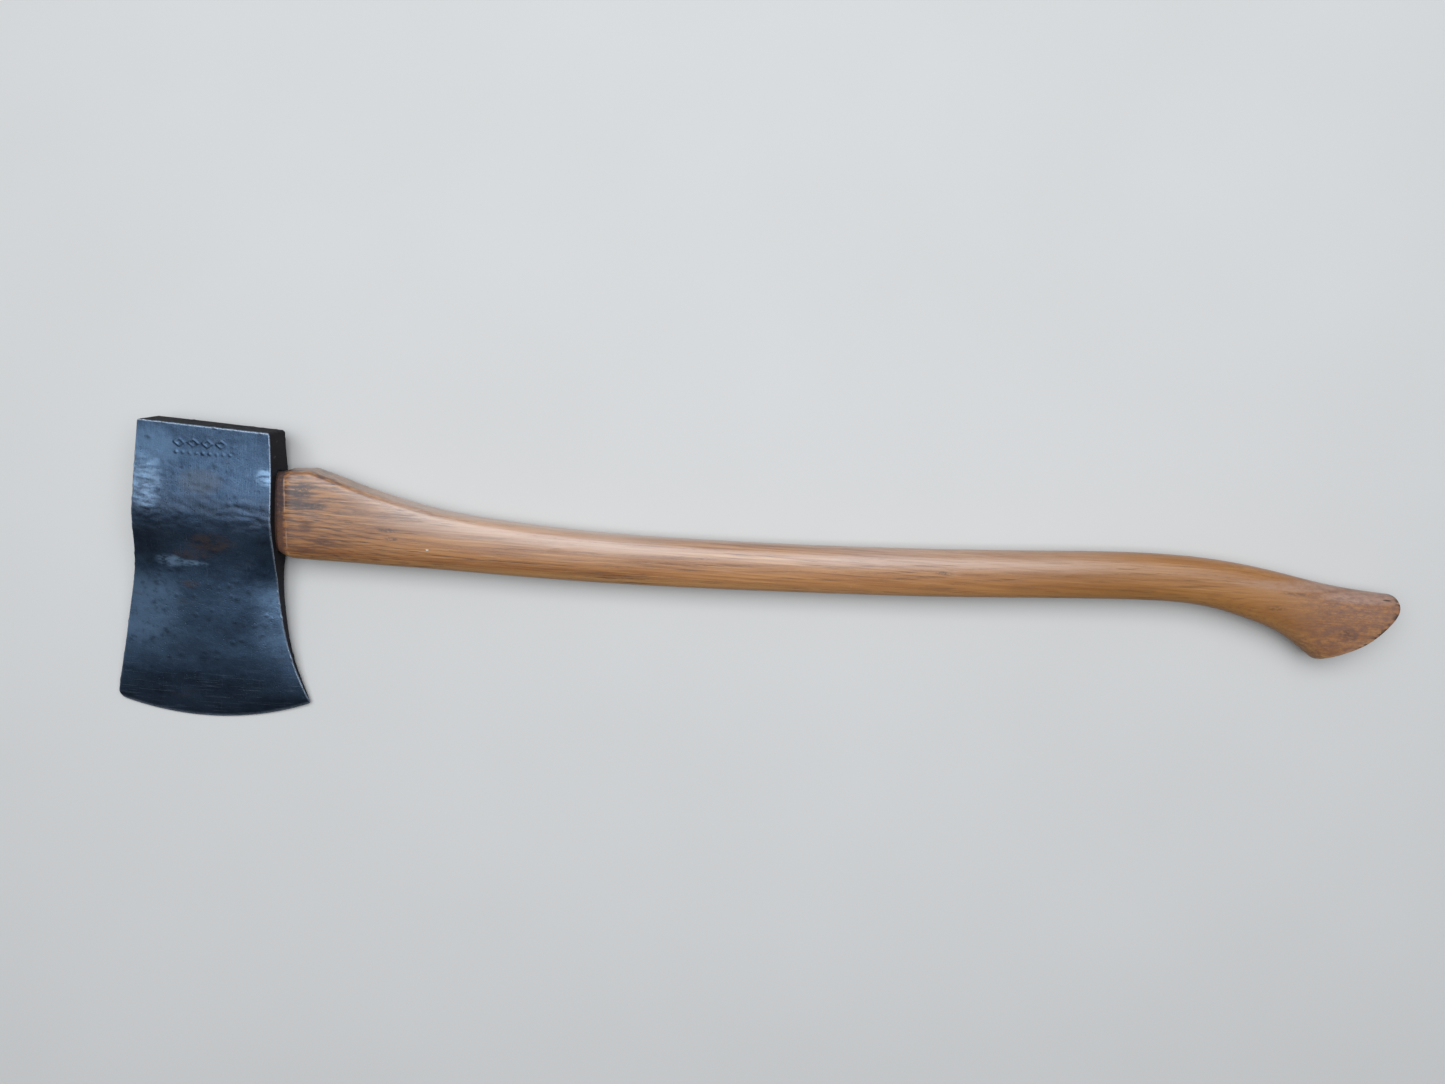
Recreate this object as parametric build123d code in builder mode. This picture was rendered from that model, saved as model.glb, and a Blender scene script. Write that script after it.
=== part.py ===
from build123d import *
import os
from math import copysign, cos, sin, sqrt, tan, radians, tau

# A felling axe: a forged steel head, a curved hickory haft with a fawn's-foot knob,
# a wooden wedge in the haft's saw kerf, and two steel wedges driven across it.
#
# Every piece is drawn about the axe's plane of symmetry, in millimetres:
#   X runs along the haft, from the head's top face (0) to the knob,
#   Y runs from the bit (-) to the poll (+), with 0 near the middle of the eye,
#   Z is the thickness, with 0 on the plane of symmetry.
# The finished axe is then turned as it lies on a floor, cheek down.

# --- The head ---------------------------------------------------------------------------

bit_radius = 200.0             # the bit's arc, seen from the cheek
bit_centre = (40.0, 46.7)
toe_x = -23.5                  # the bit's corner at the head's top face
heel_x = 116.3                 # the bit's corner at the haft side
bevel_angle = 12.0             # each side of the ground edge
edge_land = 0.4                # the edge's own thickness

poll_top = (2.2, 60.4)         # the poll face slopes a little, from here
poll_haft_side = (92.4, 56.8)  # to here

top_face_curve = [poll_top, (0.0, 25.0), (-0.8, -8.0), (-6.5, -46.0), (-13.4, -85.0)]
haft_face_curve = [poll_haft_side, (94.8, 4.0), (94.4, -40.0), (97.6, -78.0), (104.2, -108.0)]

# From the poll over the swell of the eye to the bit: height, half the head's thickness down
# its middle, half its width, and the share of the thickness that its sides keep.
cheek_stations = [
    (62.0, 13.3, 48.0, 1.0),
    (40.0, 14.0, 48.0, 1.0),
    (22.0, 15.9, 48.0, 1.0),
    (3.0, 18.0, 48.0, 1.0),
    (-12.0, 16.8, 48.0, 1.0),
    (-28.0, 13.6, 49.0, 0.84),
    (-46.0, 11.4, 50.0, 0.54),
    (-75.0, 9.0, 54.0, 0.42),
    (-110.0, 5.6, 60.0, 0.42),
    (-140.0, 2.7, 69.0, 0.50),
    (-156.0, 1.3, 72.0, 0.50),
]
cheek_middle = 45.0            # the crown runs down the blade here
crown_shape = 2.4              # how late the crown falls away: 2 is a parabola
crown_steps = [-1.1, -0.8, -0.4, 0.0, 0.4, 0.8, 1.1]   # across the cheek, past both its sides

poll_corner_radius = 1.8
toe_radius = 6.0
heel_radius = 2.0
arris_radius = 0.9

# --- The eye, and the haft's tongue that fills it ---------------------------------------

eye_middle = 1.0               # above the X axis
eye_squareness = 2.4           # 2 is an ellipse, and larger numbers are squarer
mouth_length, mouth_width = 57.0, 20.5     # at the haft's shoulder
crown_length, crown_width = 60.0, 23.5     # at the head's top, where the wedges spread it
crown_x = -8.0                 # past the head's top face
tongue_end = 0.0               # the tongue stops near flush with the top face
shoulder_x = 96.5

# --- The haft ---------------------------------------------------------------------------

# Each station is: distance along X, the haft's back (poll side), its belly (bit side),
# its thickness, and how square its section is.
shoulder_peak = (119.0, 32.8, -30.8, 26.0, 4.6)
shoulder_stations = [
    (shoulder_x, 30.6, -28.0, 24.4, 5.0),
    (108.0, 32.2, -30.6, 26.0, 4.8),
    shoulder_peak,
]
grip_stations = [
    shoulder_peak,
    (145.0, 24.6, -31.0, 25.6, 4.2),
    (170.0, 17.6, -31.2, 25.2, 3.6),
    (205.0, 10.4, -31.4, 24.9, 3.0),
    (250.0, 5.8, -32.0, 24.5, 2.7),
    (310.0, 3.0, -32.2, 24.2, 2.5),
    (385.0, 3.5, -31.0, 24.0, 2.4),
    (465.0, 5.2, -28.3, 24.0, 2.4),
    (545.0, 8.7, -24.8, 24.0, 2.4),
    (625.0, 13.4, -19.8, 24.2, 2.4),
    (680.0, 16.8, -16.4, 24.6, 2.4),
    (720.0, 17.7, -15.0, 25.0, 2.4),
    (750.0, 16.5, -17.0, 25.6, 2.4),
    (780.0, 13.3, -24.0, 26.5, 2.4),
    (805.0, 9.2, -33.5, 27.2, 2.4),
    (830.0, 5.0, -49.8, 27.7, 2.5),
    (858.0, 2.2, -64.0, 27.7, 2.6),
    (895.0, 0.4, -78.0, 27.2, 2.6),
]

# The knob's end face, seen from the side, from above the toe to below the heel.
knob_end_curve = [
    (869.0, 9.0), (878.0, -3.0), (870.8, -20.0), (855.4, -35.0), (829.0, -49.8), (812.0, -53.0),
]
knob_arris_radius = 2.5

# --- The wedges -------------------------------------------------------------------------

wooden_wedge_thickness = 6.5   # at the tongue's end
wooden_wedge_tip = 1.2
wooden_wedge_reach = 60.0      # the tip's depth below the head's top
kerf_reach = 66.0              # the saw kerf runs on a little past the tip

steel_wedge_thickness = 3.2
steel_wedge_tip = 0.6
steel_wedge_width = 17.0
steel_wedge_reach = 27.0
steel_wedge_end = -0.4
steel_wedge_spacing = 27.0     # between the two, along the eye

# --- How the axe lies -------------------------------------------------------------------

lean = 6.34                    # degrees: the swell of the eye, the bevel and the knob touch the floor

section_points = 24
overlap = 1.0                  # the grip and the shoulder run into each other by this much
reach = 60.0                   # half the width of a cutting shape, past every side
floor_accuracy = 0.05          # of the triangles that find where the floor lies


def oval(back, belly, thickness, squareness):
    """Points round a rounded section, as (height, thickness) pairs."""
    middle = (back + belly) / 2
    half_height = (back - belly) / 2
    points = []
    for step in range(section_points):
        angle = tau * step / section_points
        across = copysign(abs(cos(angle)) ** (2 / squareness), cos(angle))
        out = copysign(abs(sin(angle)) ** (2 / squareness), sin(angle))
        points.append((middle + half_height * across, thickness / 2 * out))
    return points


def on_bit(x):
    """The point of the bit's arc at this x."""
    return (x, bit_centre[1] - sqrt(bit_radius**2 - (x - bit_centre[0]) ** 2))


# The eye's full shape, right through the head. The haft's tongue and the wooden wedge fill it.
with BuildPart() as eye:
    for x, length, width in [
        (crown_x, crown_length, crown_width),
        (shoulder_x, mouth_length, mouth_width),
    ]:
        outline = oval(eye_middle + length / 2, eye_middle - length / 2, width, eye_squareness)
        with BuildSketch(Plane.YZ.offset(x)):
            with BuildLine():
                Spline(*outline, periodic=True)
            make_face()
    loft()

with BuildPart() as tongue:
    add(eye.part)
    with BuildSketch(Plane.YZ.offset(tongue_end)):
        Rectangle(2 * reach, 2 * reach)
    extrude(amount=2 * reach, mode=Mode.INTERSECT)

# The cheeks' full shape: its sides are cut by the head's outline.
with BuildPart() as cheeks:
    for height, thickness, width, kept in cheek_stations:
        crown = [
            (cheek_middle + width * step, thickness * (1 - (1 - kept) * abs(step) ** crown_shape))
            for step in crown_steps
        ]
        with BuildSketch(Plane.XZ.offset(-height)):
            with BuildLine():
                near_cheek = Spline(*crown)
                far_cheek = Spline(*[(x, -z) for x, z in crown])
                Line(near_cheek @ 0, far_cheek @ 0)
                Line(near_cheek @ 1, far_cheek @ 1)
            make_face()
    loft()

with BuildPart() as axe_head:
    # The outline seen from the cheek, thicker than the head, with its four corners rounded.
    with BuildSketch(Plane.XY.offset(-reach)):
        with BuildLine():
            Spline(*top_face_curve, on_bit(toe_x))
            ThreePointArc(on_bit(toe_x), on_bit(bit_centre[0]), on_bit(heel_x))
            Spline(on_bit(heel_x), *reversed(haft_face_curve))
            Line(poll_haft_side, poll_top)
        make_face()
    extrude(amount=2 * reach)
    for place, radius in [
        (poll_top, poll_corner_radius),
        (poll_haft_side, poll_corner_radius),
        (on_bit(toe_x), toe_radius),
        (on_bit(heel_x), heel_radius),
    ]:
        fillet(axe_head.edges().filter_by(Axis.Z).sort_by_distance((*place, 0))[0], radius=radius)
    add(cheeks.part, mode=Mode.INTERSECT)
    # The arrises are worn round, in one run from the poll down both sides of each cheek.
    poll_corner = axe_head.faces().sort_by(Axis.Y)[-1]
    fillet(poll_corner.edges().filter_by(Axis.Z, reverse=True), radius=arris_radius)
    # The ground edge: a double cone whose rim is the bit's arc.
    with BuildSketch(Plane(origin=(*bit_centre, 0), x_dir=(1, 0, 0), z_dir=(0, -1, 0))):
        rim = bit_radius + edge_land / 2 / tan(radians(bevel_angle))
        apex = rim * tan(radians(bevel_angle))
        with BuildLine():
            Polyline((0, -apex), (rim, 0), (0, apex), close=True)
        make_face()
    revolve(axis=Axis((*bit_centre, 0), (0, 0, 1)), mode=Mode.INTERSECT)
    add(eye.part, mode=Mode.SUBTRACT)

steel_wedges = {}
for name, side in [("steel_wedge_front", -1), ("steel_wedge_rear", 1)]:
    middle = eye_middle + side * steel_wedge_spacing / 2
    with BuildPart() as steel_wedge:
        with BuildSketch(Plane.XY):
            with BuildLine():
                Polyline(
                    (steel_wedge_end, middle - steel_wedge_thickness / 2),
                    (steel_wedge_reach, middle - steel_wedge_tip / 2),
                    (steel_wedge_reach, middle + steel_wedge_tip / 2),
                    (steel_wedge_end, middle + steel_wedge_thickness / 2),
                    close=True,
                )
            make_face()
        extrude(amount=steel_wedge_width / 2, both=True)
    steel_wedges[name] = steel_wedge

with BuildPart() as wooden_wedge:
    add(tongue.part)
    with BuildSketch(Plane.XZ):
        with BuildLine():
            Polyline(
                (tongue_end, -wooden_wedge_thickness / 2),
                (wooden_wedge_reach, -wooden_wedge_tip / 2),
                (wooden_wedge_reach, wooden_wedge_tip / 2),
                (tongue_end, wooden_wedge_thickness / 2),
                close=True,
            )
        make_face()
    extrude(amount=reach, both=True, mode=Mode.INTERSECT)
    for steel_wedge in steel_wedges.values():
        add(steel_wedge.part, mode=Mode.SUBTRACT)

with BuildPart() as haft:
    # The grip and knob, run past the knob's end.
    for x, back, belly, thickness, squareness in grip_stations:
        with BuildSketch(Plane.YZ.offset(x)):
            with BuildLine():
                Spline(*oval(back, belly, thickness, squareness), periodic=True)
            make_face()
    loft()
    # The knob is cut off along its end curve, and the arris rounded.
    with BuildSketch(Plane.XY):
        with BuildLine():
            end_curve = Spline(*knob_end_curve)
            Polyline(
                end_curve @ 1,
                (shoulder_peak[0] - overlap, -2 * reach),
                (shoulder_peak[0] - overlap, reach),
                end_curve @ 0,
            )
        make_face()
    extrude(amount=reach, both=True, mode=Mode.INTERSECT)
    knob_end = haft.faces().sort_by(Axis.X)[-1]
    fillet(knob_end.edges(), radius=knob_arris_radius)
    # The shoulder and the tongue.
    for x, back, belly, thickness, squareness in shoulder_stations:
        with BuildSketch(Plane.YZ.offset(x)):
            with BuildLine():
                Spline(*oval(back, belly, thickness, squareness), periodic=True)
            make_face()
    loft()
    add(tongue.part)
    # The kerf, open where the wooden wedge sits and on past its tip.
    with BuildSketch(Plane.XZ):
        with BuildLine():
            Polyline(
                (tongue_end, -wooden_wedge_thickness / 2),
                (wooden_wedge_reach, -wooden_wedge_tip / 2),
                (kerf_reach, -wooden_wedge_tip / 2),
                (kerf_reach, wooden_wedge_tip / 2),
                (wooden_wedge_reach, wooden_wedge_tip / 2),
                (tongue_end, wooden_wedge_thickness / 2),
                close=True,
            )
        make_face()
    extrude(amount=reach, both=True, mode=Mode.SUBTRACT)
    for steel_wedge in steel_wedges.values():
        add(steel_wedge.part, mode=Mode.SUBTRACT)

pieces = {
    "axe_head": axe_head,
    "haft": haft,
    "wooden_wedge": wooden_wedge,
    **steel_wedges,
}

# The axe leans over about its own length, and its origin is put on the floor, under the
# middle of its box.
leaning = Rotation(lean, 0, 0)
surface = []
for piece in pieces.values():
    surface.extend((leaning * piece.part).tessellate(floor_accuracy)[0])
floor_z = min(point.Z for point in surface)
middle_x = (min(point.X for point in surface) + max(point.X for point in surface)) / 2
middle_y = (min(point.Y for point in surface) + max(point.Y for point in surface)) / 2
resting = Pos(-middle_x, -middle_y, -floor_z) * leaning

os.makedirs("parts", exist_ok=True)
for name, piece in pieces.items():
    piece.part.locate(resting)
    piece.part.label = name
    export_step(piece.part, f"parts/{name}.step")
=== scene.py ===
"""The looks of a felling axe: forged head, curved haft and wedges, laid on a pale floor.

Shapes are worked out in the axe's own millimetres, about its plane of symmetry: X runs from the
head's top face to the knob, Y from the bit to the poll, Z is the thickness. Then they are turned
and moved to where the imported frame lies.
"""
import random
from functools import reduce
from math import radians, tan, tau

import bpy
import numpy as np
from mathutils import Matrix, Vector, noise


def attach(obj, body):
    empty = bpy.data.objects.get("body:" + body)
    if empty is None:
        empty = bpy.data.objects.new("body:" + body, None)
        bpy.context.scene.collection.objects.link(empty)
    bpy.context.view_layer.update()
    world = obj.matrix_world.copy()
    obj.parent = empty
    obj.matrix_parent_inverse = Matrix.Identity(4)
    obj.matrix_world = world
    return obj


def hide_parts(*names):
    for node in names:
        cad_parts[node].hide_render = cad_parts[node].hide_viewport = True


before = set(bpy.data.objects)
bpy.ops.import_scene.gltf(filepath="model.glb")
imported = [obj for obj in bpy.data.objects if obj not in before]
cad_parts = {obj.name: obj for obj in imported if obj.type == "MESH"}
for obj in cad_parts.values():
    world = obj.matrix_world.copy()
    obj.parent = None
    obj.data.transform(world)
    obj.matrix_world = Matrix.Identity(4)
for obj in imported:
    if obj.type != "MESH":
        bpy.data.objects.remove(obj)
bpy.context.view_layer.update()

# --- The shapes, close to the CAD's ---

POLL_TOP = (2.2, 60.4)
POLL_HAFT_SIDE = (92.4, 56.8)
TOP_FACE = [POLL_TOP, (0.0, 25.0), (-0.8, -8.0), (-6.5, -46.0), (-13.4, -85.0), (-23.5, -142.9)]
HAFT_FACE = [
    POLL_HAFT_SIDE, (94.8, 4.0), (94.4, -40.0), (97.6, -78.0), (104.2, -108.0), (116.3, -138.2),
]
BIT_CENTRE = (40.0, 46.7)
BIT_RADIUS = 200.0
BEVEL = tan(radians(12.0))
EDGE = 0.2  # half the thickness of the edge itself
THINNEST = 0.08  # and the least that half may come to
# From the poll over the swell of the eye to the bit: height, half the head's thickness down
# its middle, half its width, and the share of the thickness that its sides keep.
CHEEK = [
    (62.0, 13.3, 48.0, 1.0), (40.0, 14.0, 48.0, 1.0), (22.0, 15.9, 48.0, 1.0), (3.0, 18.0, 48.0, 1.0),
    (-12.0, 16.8, 48.0, 1.0), (-28.0, 13.6, 49.0, 0.84), (-46.0, 11.4, 50.0, 0.54),
    (-75.0, 9.0, 54.0, 0.42), (-110.0, 5.6, 60.0, 0.42), (-140.0, 2.7, 69.0, 0.50),
    (-156.0, 1.3, 72.0, 0.50),
]
CHEEK_MIDDLE = 45.0
CROWN_SHAPE = 2.4
EYE_MIDDLE = 1.0
EYE_SQUARENESS = 2.4
EYE_CROWN = (-8.0, 60.0, 23.5)  # distance along X, length, width
EYE_MOUTH = (96.5, 57.0, 20.5)
EYE_CHAMFER = 0.8  # round both of its rims

# The haft: distance along X, back, belly, thickness, squareness of the back and of the belly.
STATIONS = [
    (96.5, 29.4, -27.0, 22.4, 4.6, 3.8),
    (101.5, 31.2, -29.2, 25.2, 6.0, 4.0),
    (108.0, 32.1, -30.5, 26.0, 7.0, 4.0),
    (114.0, 32.5, -30.7, 26.0, 7.5, 3.8),
    (118.0, 32.8, -30.8, 26.0, 8.0, 3.7),
    (121.0, 32.0, -30.9, 26.0, 8.0, 3.6),
    (132.0, 28.7, -31.0, 25.9, 8.0, 3.4),
    (145.0, 24.5, -31.0, 25.6, 7.5, 3.2),
    (170.0, 17.6, -31.2, 25.2, 6.5, 3.0),
    (205.0, 10.4, -31.4, 24.9, 5.2, 2.7),
    (250.0, 5.8, -32.0, 24.5, 4.2, 2.5),
    (310.0, 3.0, -32.2, 24.2, 3.6, 2.4),
    (385.0, 3.2, -31.0, 24.0, 3.0, 2.4),
    (465.0, 5.2, -28.3, 24.0, 2.6, 2.3),
    (545.0, 8.7, -24.8, 24.0, 2.5, 2.3),
    (625.0, 13.4, -19.8, 24.2, 2.5, 2.3),
    (680.0, 16.8, -16.4, 24.6, 2.5, 2.3),
    (720.0, 17.7, -15.0, 25.0, 2.5, 2.3),
    (750.0, 16.5, -17.0, 25.6, 2.5, 2.3),
    (780.0, 13.3, -24.0, 26.5, 2.5, 2.4),
    (805.0, 9.2, -33.5, 27.2, 2.5, 2.4),
    (830.0, 5.0, -49.8, 27.7, 2.6, 2.5),
    (858.0, 2.2, -64.0, 27.7, 2.7, 2.6),
    (895.0, 0.4, -78.0, 27.2, 2.7, 2.6),
]
KNOB_END = [(869.0, 9.0), (877.6, -3.0), (870.3, -20.0), (854.8, -34.8), (829.0, -49.2)]
TONGUE_END = 0.0
TONGUE_ROOT = 95.4  # where the tongue meets the shoulder
KNOB_ARRIS = 1.9  # the round beside the knob's end face
KNOB_START = 785.0  # from here the haft's rings turn towards the knob's end face
KNOB_SEARCH = (800.0, 895.0)  # the end face lies between these, all the way round
KNOB_RINGS = 60
# The end face: share of the way out from its middle, and how far it has fallen there.
DOME = [
    (0.994, 1.35), (0.984, 1.0), (0.97, 0.78), (0.94, 0.62), (0.88, 0.5), (0.81, 0.4),
    (0.72, 0.3), (0.6, 0.2), (0.46, 0.1), (0.3, 0.05), (0.14, 0.0), (0.01, 0.0),
]
DOME_SLOPE = 40.0  # the most it may rise from its rim, over the whole way in

WOODEN_WEDGE = (6.5, 1.2, 60.0)  # thickness at its end and tip, and the tip's depth
WEDGE_GAP = 0.08  # how much thinner the wooden wedge is than its kerf
WEDGE_PROUD = 0.25  # how far its end stands out past the tongue's
KERF_END = 66.0
KERF_WIDTH = 90.0  # past both ends of the eye
CUTTER_START = -8.0  # well past the tongue's end
STEEL_WEDGE = (3.2, 0.6, 27.0)  # the same for a steel wedge
STEEL_WEDGE_WIDTH = 17.0
STEEL_WEDGE_END = -0.4
STEEL_WEDGE_SPACING = 27.0
STEEL_WEDGE_GAPS = (0.04, 0.05)  # to each side and each end of its slot
STEEL_WEDGE_TAPER = 0.6  # how much each end draws in by the tip
HAMMERED = 0.35  # how far their hammered ends stand up


# --- Curves, noise and meshes ---

def smooth(points, at):
    """A natural cubic spline through (position, value) points, straight beyond its two ends."""
    x, y = np.array(sorted(points)).T
    gap = np.diff(x)
    slope = np.diff(y) / gap
    count = len(x)
    bend = np.eye(count)
    load = np.zeros(count)
    for i in range(1, count - 1):
        bend[i, i - 1:i + 2] = gap[i - 1], 2 * (gap[i - 1] + gap[i]), gap[i]
        load[i] = 6 * (slope[i] - slope[i - 1])
    curve = np.linalg.solve(bend, load)
    inside = np.clip(at, x[0], x[-1])
    k = np.clip(np.searchsorted(x, inside) - 1, 0, count - 2)
    left, right, h = inside - x[k], x[k + 1] - inside, gap[k]
    value = (
        (curve[k] * right**3 + curve[k + 1] * left**3) / (6 * h)
        + (y[k] / h - curve[k] * h / 6) * right
        + (y[k + 1] / h - curve[k + 1] * h / 6) * left
    )
    before = np.minimum(at - inside, 0) * (slope[0] - curve[1] * gap[0] / 6)
    after = np.maximum(at - inside, 0) * (slope[-1] + curve[-2] * gap[-1] / 6)
    return value + before + after


def swapped(points):
    """The same outline as X against Y."""
    return [(y, x) for x, y in points]


def rounding(distance, radius):
    """How far a round of this radius has fallen away, at a distance from the corner."""
    inside = np.clip(1 - np.asarray(distance, float) / radius, 0, 1)
    return radius * (1 - np.sqrt(1 - inside**2))


def ease(value, low, high):
    """0 below low, 1 above high, and smooth between."""
    t = np.clip((value - low) / (high - low), 0, 1)
    return t * t * (3 - 2 * t)


def spread(*spans):
    """Positions from 0 to 1 over joined spans, each an end and a step in the same unit."""
    places = [0.0]
    for end, step in spans:
        count = max(1, round((end - places[-1]) / step))
        places += list(np.linspace(places[-1], end, count + 1)[1:])
    return np.array(places) / places[-1]


def field(points, size, seed, stretch=(1, 1, 1), octaves=1):
    """Smooth noise, about -1 to 1, at each point, with features about size millimetres wide."""
    grain = Vector((seed * 17.3, seed * 5.1, seed * 9.7))
    scaled = points / (np.array(stretch) * size)
    if octaves > 1:
        return np.array([noise.fractal(Vector(p) + grain, 1.0, 2.0, octaves) for p in scaled])
    return np.array([noise.noise(Vector(p) + grain) for p in scaled])


def tube_faces(rows, around, close=False):
    """Quads over rings of points held row by row, joined end to start where close is set."""
    faces = []
    for r in range(rows if close else rows - 1):
        here, there = r * around, (r + 1) % rows * around
        for c in range(around):
            d = (c + 1) % around
            faces.append((here + c, there + c, there + d, here + d))
    return faces


def new_object(name, data):
    item = bpy.data.objects.new(name, data)
    bpy.context.scene.collection.objects.link(item)
    return item


def make_piece(name, points, faces):
    """A smooth-shaded mesh object, still in the axe's own millimetres."""
    mesh = bpy.data.meshes.new(name)
    mesh.from_pydata([tuple(p) for p in points], [], faces)
    mesh.update()
    mesh.shade_smooth()
    return new_object(name, mesh)


def make_tube(name, rings):
    """A closed solid over rings of points, with one polygon across each end."""
    rows, around = len(rings), len(rings[0])
    start = (rows - 1) * around
    ends = [tuple(range(around)), tuple(range(start + around - 1, start - 1, -1))]
    return make_piece(name, np.vstack(rings), tube_faces(rows, around) + ends)


def get_points(mesh, kind="co"):
    values = np.empty(len(mesh.vertices) * 3, np.float32)
    mesh.vertices.foreach_get(kind, values)
    return values.reshape(-1, 3).astype(float)


def set_points(mesh, points):
    mesh.vertices.foreach_set("co", points.astype(np.float32).ravel())
    mesh.update()


def push_out(mesh, height):
    """Moves every vertex along its normal by its own height."""
    set_points(mesh, get_points(mesh) + get_points(mesh, "normal") * height[:, None])


def store(mesh, name, values):
    """Keeps one number per vertex for the material to read."""
    layer = mesh.attributes.new(name, "FLOAT", "POINT")
    layer.data.foreach_set("value", np.asarray(values, np.float32))


def combine(piece, cutters, operation):
    """Cuts the piece with the others, or keeps what it shares with them."""
    for cutter in cutters:
        modifier = piece.modifiers.new("cut", "BOOLEAN")
        modifier.operation = operation
        modifier.solver = "EXACT"
        modifier.object = cutter
    bpy.context.view_layer.update()
    graph = bpy.context.evaluated_depsgraph_get()
    mesh = bpy.data.meshes.new_from_object(
        piece.evaluated_get(graph), preserve_all_data_layers=True, depsgraph=graph
    )
    piece.modifiers.clear()
    piece.data = mesh


def remove(objects):
    for item in objects:
        bpy.data.objects.remove(item)


# --- Where the axe lies ---

LEAN = radians(6.34)  # about X: the CAD axe lies on its cheek, bevel and knob
CAD_HEAD_LOW = (-22.763, -153.249)  # the CAD head's lowest X and Y, in the axe's own frame

turn = Matrix.Rotation(LEAN, 3, "X")


def find_offset():
    """Where the axe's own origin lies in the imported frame, from the CAD head turned back."""
    upright = get_points(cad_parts["axe_head"].data) @ np.array(turn)
    low, high = upright.min(0), upright.max(0)
    x = low[0] - CAD_HEAD_LOW[0] / 1000
    y = low[1] - CAD_HEAD_LOW[1] / 1000
    return turn @ Vector((x, y, (low[2] + high[2]) / 2))


offset = find_offset()
rest = Matrix.Translation(offset) @ turn.to_4x4() @ Matrix.Scale(0.001, 4)


# --- The head ---

ARRIS_ROUND = 0.7  # the arrises beside the top face and the haft side
POLL_ROUND = 0.8
POLL_CORNER, TOE_CORNER, HEEL_CORNER = 1.8, 6.0, 2.2
POLL_WIDTH, BIT_WIDTH = 90.0, 139.0
FACE_GAP = 100.0  # about how far apart the top face and the haft side are
CREST = 2.0  # where the eye's swell is highest, along Y
CREST_FILL = 0.45  # how much fuller the cheek is just below it
CREST_SLANT = 5.0  # and how far that slants, towards the poll at the top face
# The worn mark: where its rows start, each one's step, and half a lozenge's size.
LOZENGES, LOZENGE_STEP, LOZENGE_SIZE = (31.0, 46.6), 9.6, (3.7, 2.9)
DOTS, DOT_STEP = (29.0, 39.8), 4.6
MARK_DEPTH, NICK_DEPTH = 0.45, 0.9
PIT_SEED, PITS_EACH = 41, 13
# Clusters of rust pits: each one's middle and its size.
PIT_CLUSTERS = [
    (44, -66, 12), (30, -102, 16), (70, -96, 18), (18, -40, 10),
    (60, -30, 16), (34, 20, 20), (78, 22, 14), (14, -128, 10),
]


def bit_line(x):
    return BIT_CENTRE[1] - np.sqrt(BIT_RADIUS**2 - (x - BIT_CENTRE[0]) ** 2)


def poll_line(x):
    slope = (POLL_HAFT_SIDE[1] - POLL_TOP[1]) / (POLL_HAFT_SIDE[0] - POLL_TOP[0])
    return POLL_TOP[1] + slope * (x - POLL_TOP[0])


def half_thickness(x, y):
    """Half the head's thickness over its cheek, ground edge included."""
    # The blade is fullest down its middle and thins towards its sides.
    height, thick, width, kept = np.array(CHEEK).T
    across = np.abs(x - CHEEK_MIDDLE) / smooth(zip(height, width), y)
    plain = smooth(zip(height, thick), y) * (1 - (1 - smooth(zip(height, kept), y)) * across**CROWN_SHAPE)
    reach = np.hypot(x - BIT_CENTRE[0], y - BIT_CENTRE[1])
    ground = EDGE + (BIT_RADIUS - reach) * BEVEL
    # The smaller of the two, with the line between them worn soft.
    softness = 0.3
    return np.maximum(-softness * np.logaddexp(-plain / softness, -ground / softness), THINNEST)


def head_loops():
    """Loops round the head, down the near cheek, up the far one and over the poll."""
    # Closest beside the arrises, and close under the worn mark.
    along = spread((0.8, 0.16), (4.0, 0.5), (9, 0.7), (24, 1.1), (70, 0.7), (91, 1.1),
                   (96, 0.7), (99.2, 0.4), (100, 0.16))
    down = spread((1.2, 0.2), (8, 0.7), (28, 0.6), (110, 0.8), (207, 1.0), (212, 0.6))
    across = np.linspace(-1, 1, 23)[1:-1]
    left, right = swapped(TOP_FACE), swapped(HAFT_FACE)
    loops = []
    for s in along:
        x = np.full(len(down), FACE_GAP * s)
        # X and Y depend on each other here, and settle in a few turns.
        for _ in range(6):
            top = poll_line(x[0]) - rounding(s * POLL_WIDTH, POLL_CORNER)
            top -= rounding((1 - s) * POLL_WIDTH, POLL_CORNER)
            bit = bit_line(x[-1]) + rounding(s * BIT_WIDTH, TOE_CORNER)
            bit += rounding((1 - s) * BIT_WIDTH, HEEL_CORNER)
            y = top + (bit - top) * down
            x = smooth(left, y) * (1 - s) + smooth(right, y) * s
        half = half_thickness(x, y) - rounding(top - y, POLL_ROUND)
        drop = rounding(s * FACE_GAP, ARRIS_ROUND) + rounding((1 - s) * FACE_GAP, ARRIS_ROUND)
        half = half - np.minimum(drop, 0.5 * half)
        near = np.stack([x, y, half], 1)
        far = np.stack([x, y, -half], 1)[::-1]
        poll = np.stack([np.full(len(across), x[0]), np.full(len(across), y[0]), across * half[0]], 1)
        loops.append(np.vstack([near, far, poll]))
    return along, np.array(loops)


def eye_point(x, angle):
    """A point of the eye's wall, at this x and in this direction from its middle."""
    share = (x - EYE_CROWN[0]) / (EYE_MOUTH[0] - EYE_CROWN[0])
    length = EYE_CROWN[1] + (EYE_MOUTH[1] - EYE_CROWN[1]) * share
    width = EYE_CROWN[2] + (EYE_MOUTH[2] - EYE_CROWN[2]) * share
    n = EYE_SQUARENESS
    reach = (np.abs(2 * np.cos(angle) / length) ** n + np.abs(2 * np.sin(angle) / width) ** n) ** (-1 / n)
    return EYE_MIDDLE + reach * np.cos(angle), reach * np.sin(angle)


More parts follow.
